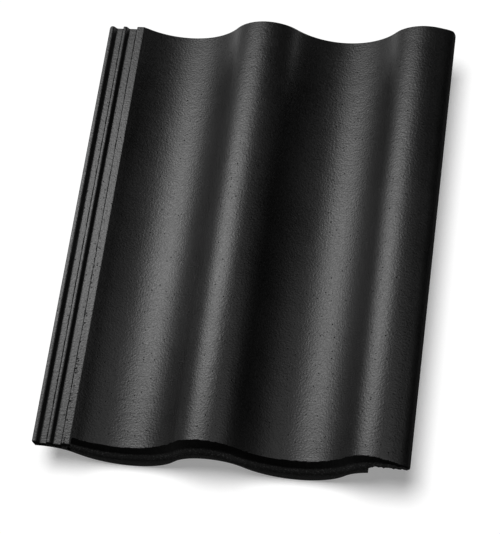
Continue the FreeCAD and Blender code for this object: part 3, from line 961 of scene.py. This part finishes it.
    def foot_under(self, x: np.ndarray, base: np.ndarray, from_tail: float) -> np.ndarray:
        """Return the height of the underside within the foot's width.

        Args:
            x: Places across the tile.
            base: Height of the plain underside there.
            from_tail: Distance from the tail's front.

        Returns:
            One height for each place: the foot's wave, the bevelled relief under the under-lap, and the
            broken edge under the over-lap.
        """
        section = self.section
        edge_gap = min(max(self.foot_round - from_tail, 0.0), self.foot_round)
        lift = self.foot_round - math.sqrt(max(self.foot_round ** 2 - edge_gap ** 2, 0))
        foot = section.foot_edge(x)
        rise = np.maximum(foot - base, TINY)
        gone = np.clip(1 - from_tail * math.tan(math.radians(self.relief)) / rise, 0, 1)
        bevel = base + rise * (1 - np.sqrt(1 - gone ** 2))
        under_lap = np.where(foot > section.rebate_under, np.maximum(base, bevel), np.minimum(base, foot))
        walled = np.where(x < section.pan_x, under_lap, np.minimum(base, foot)) + lift
        footed = np.where(x < self.foot_end[0] + TINY, walled, base)
        jag = np.interp(x, *zip(*self.lap_jag)) - from_tail * self.jag_fall
        broken = np.maximum(base, np.maximum(section.lap_under, jag))
        return np.where(x > self.foot_end[1] - TINY, broken, footed)

    def build(self) -> bpy.types.Object:
        """Build the tile's mesh.

        Returns:
            The tile as an object.
        """
        y, read_y = self.stations()
        upper, lower = self.upper(y), self.lower(y, read_y)
        self.keep_wall(upper, read_y)
        for points in (upper, lower):
            self.break_lap(points)
        rows, columns, unders = len(y), upper.shape[1], lower.shape[1]
        points = np.concatenate([upper.reshape(-1, 3), lower.reshape(-1, 3)])
        points[:, 0] -= self.section.width / 2
        low, high = (np.array(corner) / MM for corner in CAD_BOX)
        points = np.clip(points, low, high)
        top = np.arange(rows * columns).reshape(rows, columns)
        under = rows * columns + np.arange(rows * unders).reshape(rows, unders)
        faces: Faces = []
        skins: list[Skin] = []
        self.sheet(top, faces, skins, Skin.COATED)
        self.shade_nose_and_edges(y, skins)
        self.sheet(under[:, ::-1], faces, skins, Skin.BARE)
        # Both side walls carry the dull near-black finish: painted shade.
        self.sheet(np.stack([under[:, 0], top[:, 0]], 1), faces, skins, Skin.NOSE)
        self.sheet(np.stack([top[:, -1], under[:, -1]], 1), faces, skins, Skin.NOSE)
        # The tail's front carries the cut finish, darkened there by painted shade.
        for row, skin in ((0, Skin.CUT), (rows - 1, Skin.BARE)):
            ends = self.cap(points, top[row], under[row])
            faces.extend(ends)
            skins.extend([skin] * len(ends))
        mesh = bpy.data.meshes.new("pantile_skin")
        mesh.from_pydata((points * MM).tolist(), [], faces)
        mesh.polygons.foreach_set("material_index", [skin.value for skin in skins])
        self.close(mesh)
        return new_object("pantile_skin", mesh)

    def keep_wall(self, upper: np.ndarray, read_y: np.ndarray) -> None:
        """Keep the worn tail of both laps a little above the underside.

        Args:
            upper: Points of the upper face by station and column, which are moved.
            read_y: Places at which the underside is read at the stations.
        """
        for row, read in zip(upper, read_y):
            if read + self.length / 2 < self.foot_width:
                x = row[:, 0]
                thin = (x < self.section.rebate_width) | (x > self.foot_end[1])
                least = self.underside(x, read) + self.least_wall
                row[:, 2] = np.where(thin, np.maximum(row[:, 2], least), row[:, 2])

    def break_lap(self, points: np.ndarray) -> None:
        """Draw the over-lap's ragged tail back from the tail's front.

        Args:
            points: Points by station and column, in millimetres, which are moved.
        """
        back, wide, fine = self.lap_break
        x, from_tail = points[:, :, 0], points[:, :, 1] + self.length / 2
        ragged = back + wide * self.rag.row(x) + fine * self.chip.row(x)
        share = np.clip(1 - from_tail / self.break_reach, 0, 1)
        share = share * np.clip((x - self.foot_end[1]) / self.break_rise, 0, 1)
        points[:, :, 1] += np.maximum(ragged, self.break_least) * share

    def shade_nose_and_edges(self, y: np.ndarray, skins: list[Skin]) -> None:
        """Give the tail nose and both side edges' arrises the dull near-black finish of painted shade, and
        the nose's steep front the cut finish.

        Args:
            y: Places of the stations along the tile.
            skins: Finish of each face of the upper sheet, by station and column, which is changed.
        """
        nose = self.upper_columns()[2]
        from_tail = ((y[:-1] + y[1:]) / 2 + self.length / 2)[:, None]
        reach = np.minimum(nose[:-1], nose[1:])[None, :]
        on_nose = from_tail < reach
        on_front = (from_tail < (1 - self.nose_knee) * reach) & (reach > self.worn_edge)
        # The edge columns carry the dull near-black finish: painted shade.
        left, right = self.shaded_edge_columns
        on_nose[:, :left] = True
        on_nose[:, -right:] = True
        for faces, skin in ((on_nose, Skin.NOSE), (on_front, Skin.CUT)):
            for number in np.flatnonzero(faces.ravel()):
                skins[number] = skin

    @staticmethod
    def sheet(grid: np.ndarray, faces: Faces, skins: list[Skin], skin: Skin) -> None:
        """Cover a grid of points with four-sided faces.

        Args:
            grid: Numbers of the points, by station and column.
            faces: List that the faces are added to.
            skins: List that each face's finish is added to.
            skin: The finish.
        """
        quads = np.stack([grid[:-1, :-1], grid[:-1, 1:], grid[1:, 1:], grid[1:, :-1]], 2).reshape(-1, 4)
        faces.extend(map(tuple, quads.tolist()))
        skins.extend([skin] * len(quads))

    @staticmethod
    def cap(points: np.ndarray, top: np.ndarray, under: np.ndarray) -> Faces:
        """Close one end of the tile between its upper and lower outlines.

        Args:
            points: All points.
            top: Numbers of the upper outline's points.
            under: Numbers of the lower outline's points.

        Returns:
            The faces, each with three corners.
        """
        faces: Faces = []
        i = k = 0
        while i < len(top) - 1 or k < len(under) - 1:
            step_top = k == len(under) - 1 or (
                i < len(top) - 1 and points[top[i + 1], 0] <= points[under[k + 1], 0])
            if step_top:
                faces.append((int(top[i]), int(top[i + 1]), int(under[k])))
                i += 1
            else:
                faces.append((int(top[i]), int(under[k + 1]), int(under[k])))
                k += 1
        return faces

    def close(self, mesh: bpy.types.Mesh) -> None:
        """Weld the skin, turn its faces outwards and shade it smooth between its arrises.

        Args:
            mesh: The tile's mesh, which is changed.
        """
        work = bmesh.new()
        work.from_mesh(mesh)
        bmesh.ops.remove_doubles(work, verts=work.verts, dist=self.weld)
        bmesh.ops.dissolve_degenerate(work, edges=work.edges, dist=TINY)
        bmesh.ops.recalc_face_normals(work, faces=work.faces)
        count = sum(not edge.is_manifold for edge in work.edges)
        LOG.info("tile skin: %d points, %d faces, %d open edges", len(work.verts), len(work.faces), count)
        work.to_mesh(mesh)
        work.free()
        mesh.polygons.foreach_set("use_smooth", [True] * len(mesh.polygons))
        mesh.set_sharp_from_angle(angle=math.radians(self.sharp))

    def dress(self, tile: bpy.types.Object) -> None:
        """Give the tile its finishes and tie it to the frame.

        Args:
            tile: The tile's object.
        """
        for finish in (CoatedFinish(), BareFinish(), SHADED_FINISH, CUT_FINISH):
            tile.data.materials.append(finish.material())
        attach(tile, "root")
        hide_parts("pantile")


@dataclass(frozen=True)
class Softbox:
    """A rectangular soft lamp aimed at a point, in metres."""

    name: str
    place: Triple
    aim: Triple
    size: Pair
    power: float
    roll: float = 0.0

    def build(self) -> bpy.types.Object:
        """Hang the lamp.

        Returns:
            The lamp's object.
        """
        lamp = bpy.data.lights.new(self.name, "AREA")
        lamp.shape = "RECTANGLE"
        lamp.size, lamp.size_y = self.size
        lamp.energy = self.power
        made = new_object(self.name, lamp)
        aimed = (Vector(self.aim) - Vector(self.place)).to_track_quat("-Z", "Y").to_matrix().to_4x4()
        made.matrix_world = Matrix.Translation(self.place) @ aimed @ Matrix.Rotation(self.roll, 4, "Z")
        return made


@dataclass(frozen=True)
class FloorLight:
    """Even light from above on the white floor, which draws the tile's soft shadow there."""

    name: str = "floor_light"
    lean: Pair = (0.05, 0.12)
    spread: float = 30.0
    strength: float = 2.9

    def build(self) -> bpy.types.Object:
        """Hang the light.

        Returns:
            The light's object.
        """
        lamp = bpy.data.lights.new(self.name, "SUN")
        lamp.angle = math.radians(self.spread)
        lamp.energy = self.strength
        made = new_object(self.name, lamp)
        rays = Vector((self.lean[0], -self.lean[1], -1.0))
        made.rotation_euler = rays.to_track_quat("-Z", "Y").to_euler()
        return made


def light_only(lamp: bpy.types.Object, lit: bpy.types.Object) -> None:
    """Let a lamp light one object alone, as flags in a studio do.

    Args:
        lamp: The lamp.
        lit: The object that it lights.
    """
    group = bpy.data.collections.new(lamp.name + "_lights")
    group.objects.link(lit)
    lamp.light_linking.receiver_collection = group


@dataclass(frozen=True)
class Studio:
    """White floor, soft light and the camera that the photograph was taken from, in metres."""

    floor_half: float = 30.0
    floor_z: float = -0.0002
    floor_colour: Triple = (0.8, 0.8, 0.8)
    floor_glow: float = 0.30
    world_light: float = 0.004
    key: Softbox = Softbox(
        "key_softbox", place=(-0.524, 0.330, 0.8305), aim=(0.0, 0.0, 0.03), size=(0.44, 0.74),
        power=9.95, roll=0.522)
    fill: Softbox = Softbox(
        "fill_softbox", place=(0.42, -0.11, 0.928), aim=(0.0, 0.0, 0.03), size=(0.52, 0.52), power=1.5)
    floor_light: FloorLight = FloorLight()
    camera_place: Triple = (0.334513, -0.624926, 1.470325)
    right: Triple = (0.97528593, 0.1364695, -0.17376255)
    down: Triple = (0.05816591, -0.91728973, -0.39394958)
    forward: Triple = (-0.21315271, 0.37410642, -0.90255765)
    focal_pixels: float = 1775.0
    middle_pixels: Pair = (241.696, 268.853)
    sensor_mm: float = 36.0
    clip: Pair = (0.05, 120.0)

    def build_floor(self) -> bpy.types.Object:
        """Lay the white floor, which keeps the tile's shadow.

        Returns:
            The floor's object.
        """
        signs = ((-1, -1), (1, -1), (1, 1), (-1, 1))
        corners = [(x * self.floor_half, y * self.floor_half, self.floor_z) for x, y in signs]
        mesh = bpy.data.meshes.new("floor")
        mesh.from_pydata(corners, [], [(0, 1, 2, 3)])
        floor = new_object("floor", mesh)
        made, graph = new_material("white_floor")
        matt = graph.wire("ShaderNodeBsdfDiffuse", {}, {"Color": (*self.floor_colour, 1)}, 0)
        glow = graph.wire("ShaderNodeEmission", {}, {"Color": WHITE, "Strength": self.floor_glow}, 0)
        lit = graph.wire("ShaderNodeAddShader", {}, {0: matt, 1: glow}, 0)
        graph.surface(graph.mixed(self.seen_directly(graph), matt, lit))
        mesh.materials.append(made)
        return floor

    @staticmethod
    def seen_directly(graph: Graph) -> Wire:
        """Tell rays that show the floor itself from those that light the tile.

        Args:
            graph: The material's nodes.

        Returns:
            1 for rays that show the floor, and 0 for the others.
        """
        rays = graph.node("ShaderNodeLightPath", {}, {})
        kinds = [Wire(graph, rays.outputs[name]) for name in (
            "Is Camera Ray", "Is Glossy Ray", "Is Transmission Ray")]
        return graph.math("MAXIMUM", graph.math("MAXIMUM", kinds[0], kinds[1]), kinds[2])

    def build_world(self) -> None:
        """Set the weak even light of the room."""
        world = bpy.data.worlds.new("room")
        world.use_nodes = True
        graph = Graph(world.node_tree)
        room = graph.wire("ShaderNodeBackground", {}, {0: WHITE, 1: self.world_light}, 0)
        graph.node("ShaderNodeOutputWorld", {}, {"Surface": room})
        bpy.context.scene.world = world

    def build_camera(self) -> None:
        """Set up the camera of the photograph."""
        data = bpy.data.cameras.new("camera")
        longest = max(PHOTO_SIZE)
        data.sensor_width = self.sensor_mm
        data.lens = self.focal_pixels * self.sensor_mm / longest
        data.shift_x = ((PHOTO_SIZE[0] - 1) / 2 - self.middle_pixels[0]) / longest
        data.shift_y = (self.middle_pixels[1] - (PHOTO_SIZE[1] - 1) / 2) / longest
        data.clip_start, data.clip_end = self.clip
        camera = new_object("camera", data)
        axes = Matrix((self.right, [-v for v in self.down], [-v for v in self.forward])).transposed()
        camera.matrix_world = Matrix.Translation(self.camera_place) @ axes.to_4x4()
        bpy.context.scene.camera = camera

    def build(self, tile: bpy.types.Object) -> None:
        """Build floor, lights, room and camera.

        Args:
            tile: The tile that the softboxes light.
        """
        floor = self.build_floor()
        light_only(self.key.build(), tile)
        light_only(self.fill.build(), tile)
        light_only(self.floor_light.build(), floor)
        self.build_world()
        self.build_camera()
        bpy.context.scene.view_settings.view_transform = "Standard"


def main() -> None:
    """Build the tile and the studio round it."""
    logging.basicConfig(level=logging.INFO, format="%(name)s: %(message)s")
    tile = Tile()
    piece = tile.build()
    tile.dress(piece)
    LOG.info("built %s", piece.name)
    Studio().build(piece)
    LOG.info("built the studio")


if __name__ == "__main__":
    main()
